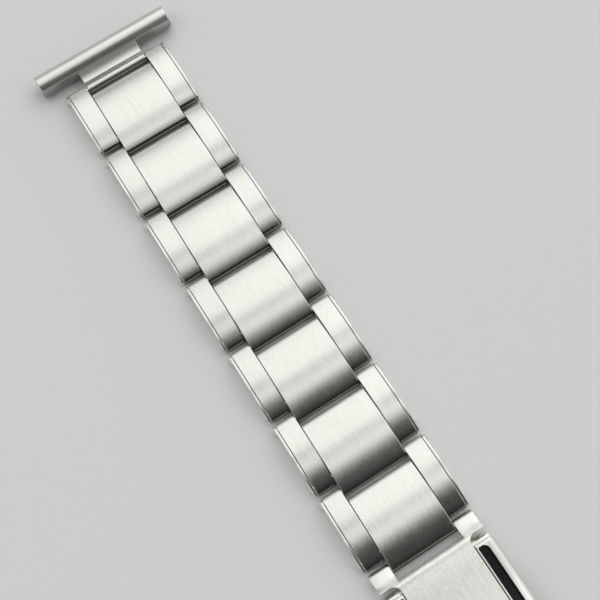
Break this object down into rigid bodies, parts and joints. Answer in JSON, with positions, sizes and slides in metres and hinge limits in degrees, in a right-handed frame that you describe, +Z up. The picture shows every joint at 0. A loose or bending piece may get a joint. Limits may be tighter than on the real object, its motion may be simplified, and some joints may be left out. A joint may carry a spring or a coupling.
{
  "type": "watch bracelet",
  "caption": "Rivet link watch bracelet of folded steel links with straight tubular end pieces and a fold-over clasp, laid out flat.",
  "frame": {"origin": "middle of the band's length and width, on the surface that its underside lies on", "axes": "+X across the band, +Y along it toward the end piece of the longer half, +Z up through the outer face"},
  "size_m": [0.02, 0.1626, 0.0036],
  "materials": {
    "brushed_links": "brushed along the band",
    "polished_plates": "polished",
    "rivet_steel": "polished",
    "end_satin": "satin",
    "clasp_brushed": "brushed along the band",
    "clasp_polished": "polished"
  },
  "bodies": {
    "frame": {"clasp_frame": "clasp_polished", "front_fold_pin": "rivet_steel", "rear_fold_pin": "rivet_steel"},
    "cover": {"clasp_cover": "clasp_brushed", "cover_rivet": "rivet_steel"},
    "blade": {"inner_blade": "clasp_polished", "blade_rivet": "rivet_steel"},
    "a_row_7": {"a7_outer_links": "brushed_links", "a7_side_plates": "polished_plates", "a7_centre_link": "brushed_links", "a7_rivets": "rivet_steel"},
    "a_row_6": {"a6_outer_links": "brushed_links", "a6_side_plates": "polished_plates", "a6_centre_link": "brushed_links", "a6_rivets": "rivet_steel"},
    "a_row_5": {"a5_outer_links": "brushed_links", "a5_side_plates": "polished_plates", "a5_centre_link": "brushed_links", "a5_rivets": "rivet_steel"},
    "a_row_4": {"a4_outer_links": "brushed_links", "a4_side_plates": "polished_plates", "a4_centre_link": "brushed_links", "a4_rivets": "rivet_steel"},
    "a_row_3": {"a3_outer_links": "brushed_links", "a3_side_plates": "polished_plates", "a3_centre_link": "brushed_links", "a3_rivets": "rivet_steel"},
    "a_row_2": {"a2_outer_links": "brushed_links", "a2_side_plates": "polished_plates", "a2_centre_link": "brushed_links", "a2_rivets": "rivet_steel"},
    "a_row_1": {"a1_outer_links": "brushed_links", "a1_side_plates": "polished_plates", "a1_centre_link": "brushed_links", "a1_rivets": "rivet_steel"},
    "a_end": {"a_end_piece": "end_satin"},
    "b_row_4": {"b4_outer_links": "brushed_links", "b4_side_plates": "polished_plates", "b4_centre_link": "brushed_links", "b4_rivets": "rivet_steel"},
    "b_row_3": {"b3_outer_links": "brushed_links", "b3_side_plates": "polished_plates", "b3_centre_link": "brushed_links", "b3_rivets": "rivet_steel"},
    "b_row_2": {"b2_outer_links": "brushed_links", "b2_side_plates": "polished_plates", "b2_centre_link": "brushed_links", "b2_rivets": "rivet_steel"},
    "b_row_1": {"b1_outer_links": "brushed_links", "b1_side_plates": "polished_plates", "b1_centre_link": "brushed_links", "b1_rivets": "rivet_steel"},
    "b_end": {"b_end_piece": "end_satin"}
  },
  "joints": [
    {"name": "cover_fold", "type": "hinge", "parent": "frame", "child": "cover", "pos_m": [0, -0.03093, 0.00172], "axis": [1, 0, 0], "range_deg": [0, 130]},
    {"name": "blade_fold", "type": "hinge", "parent": "frame", "child": "blade", "pos_m": [0, -0.001, 0.00073], "axis": [1, 0, 0], "range_deg": [0, 120]},
    {"name": "a_hinge_8", "type": "hinge", "parent": "cover", "child": "a_row_7", "pos_m": [0, 0.0021, 0.0007], "axis": [-1, 0, 0], "range_deg": [-8, 30]},
    {"name": "a_hinge_7", "type": "hinge", "parent": "a_row_7", "child": "a_row_6", "pos_m": [0, 0.0127, 0.0007], "axis": [-1, 0, 0], "range_deg": [-8, 30]},
    {"name": "a_hinge_6", "type": "hinge", "parent": "a_row_6", "child": "a_row_5", "pos_m": [0, 0.0233, 0.0007], "axis": [-1, 0, 0], "range_deg": [-8, 30]},
    {"name": "a_hinge_5", "type": "hinge", "parent": "a_row_5", "child": "a_row_4", "pos_m": [0, 0.0339, 0.0007], "axis": [-1, 0, 0], "range_deg": [-8, 30]},
    {"name": "a_hinge_4", "type": "hinge", "parent": "a_row_4", "child": "a_row_3", "pos_m": [0, 0.0445, 0.0007], "axis": [-1, 0, 0], "range_deg": [-8, 30]},
    {"name": "a_hinge_3", "type": "hinge", "parent": "a_row_3", "child": "a_row_2", "pos_m": [0, 0.0551, 0.0007], "axis": [-1, 0, 0], "range_deg": [-8, 30]},
    {"name": "a_hinge_2", "type": "hinge", "parent": "a_row_2", "child": "a_row_1", "pos_m": [0, 0.0657, 0.0007], "axis": [-1, 0, 0], "range_deg": [-8, 30]},
    {"name": "a_hinge_1", "type": "hinge", "parent": "a_row_1", "child": "a_end", "pos_m": [0, 0.0763, 0.0007], "axis": [-1, 0, 0], "range_deg": [-8, 30]},
    {"name": "b_hinge_5", "type": "hinge", "parent": "blade", "child": "b_row_4", "pos_m": [0, -0.0339, 0.0007], "axis": [1, 0, 0], "range_deg": [-8, 30]},
    {"name": "b_hinge_4", "type": "hinge", "parent": "b_row_4", "child": "b_row_3", "pos_m": [0, -0.0445, 0.0007], "axis": [1, 0, 0], "range_deg": [-8, 30]},
    {"name": "b_hinge_3", "type": "hinge", "parent": "b_row_3", "child": "b_row_2", "pos_m": [0, -0.0551, 0.0007], "axis": [1, 0, 0], "range_deg": [-8, 30]},
    {"name": "b_hinge_2", "type": "hinge", "parent": "b_row_2", "child": "b_row_1", "pos_m": [0, -0.0657, 0.0007], "axis": [1, 0, 0], "range_deg": [-8, 30]},
    {"name": "b_hinge_1", "type": "hinge", "parent": "b_row_1", "child": "b_end", "pos_m": [0, -0.0763, 0.0007], "axis": [1, 0, 0], "range_deg": [-8, 30]}
  ]
}
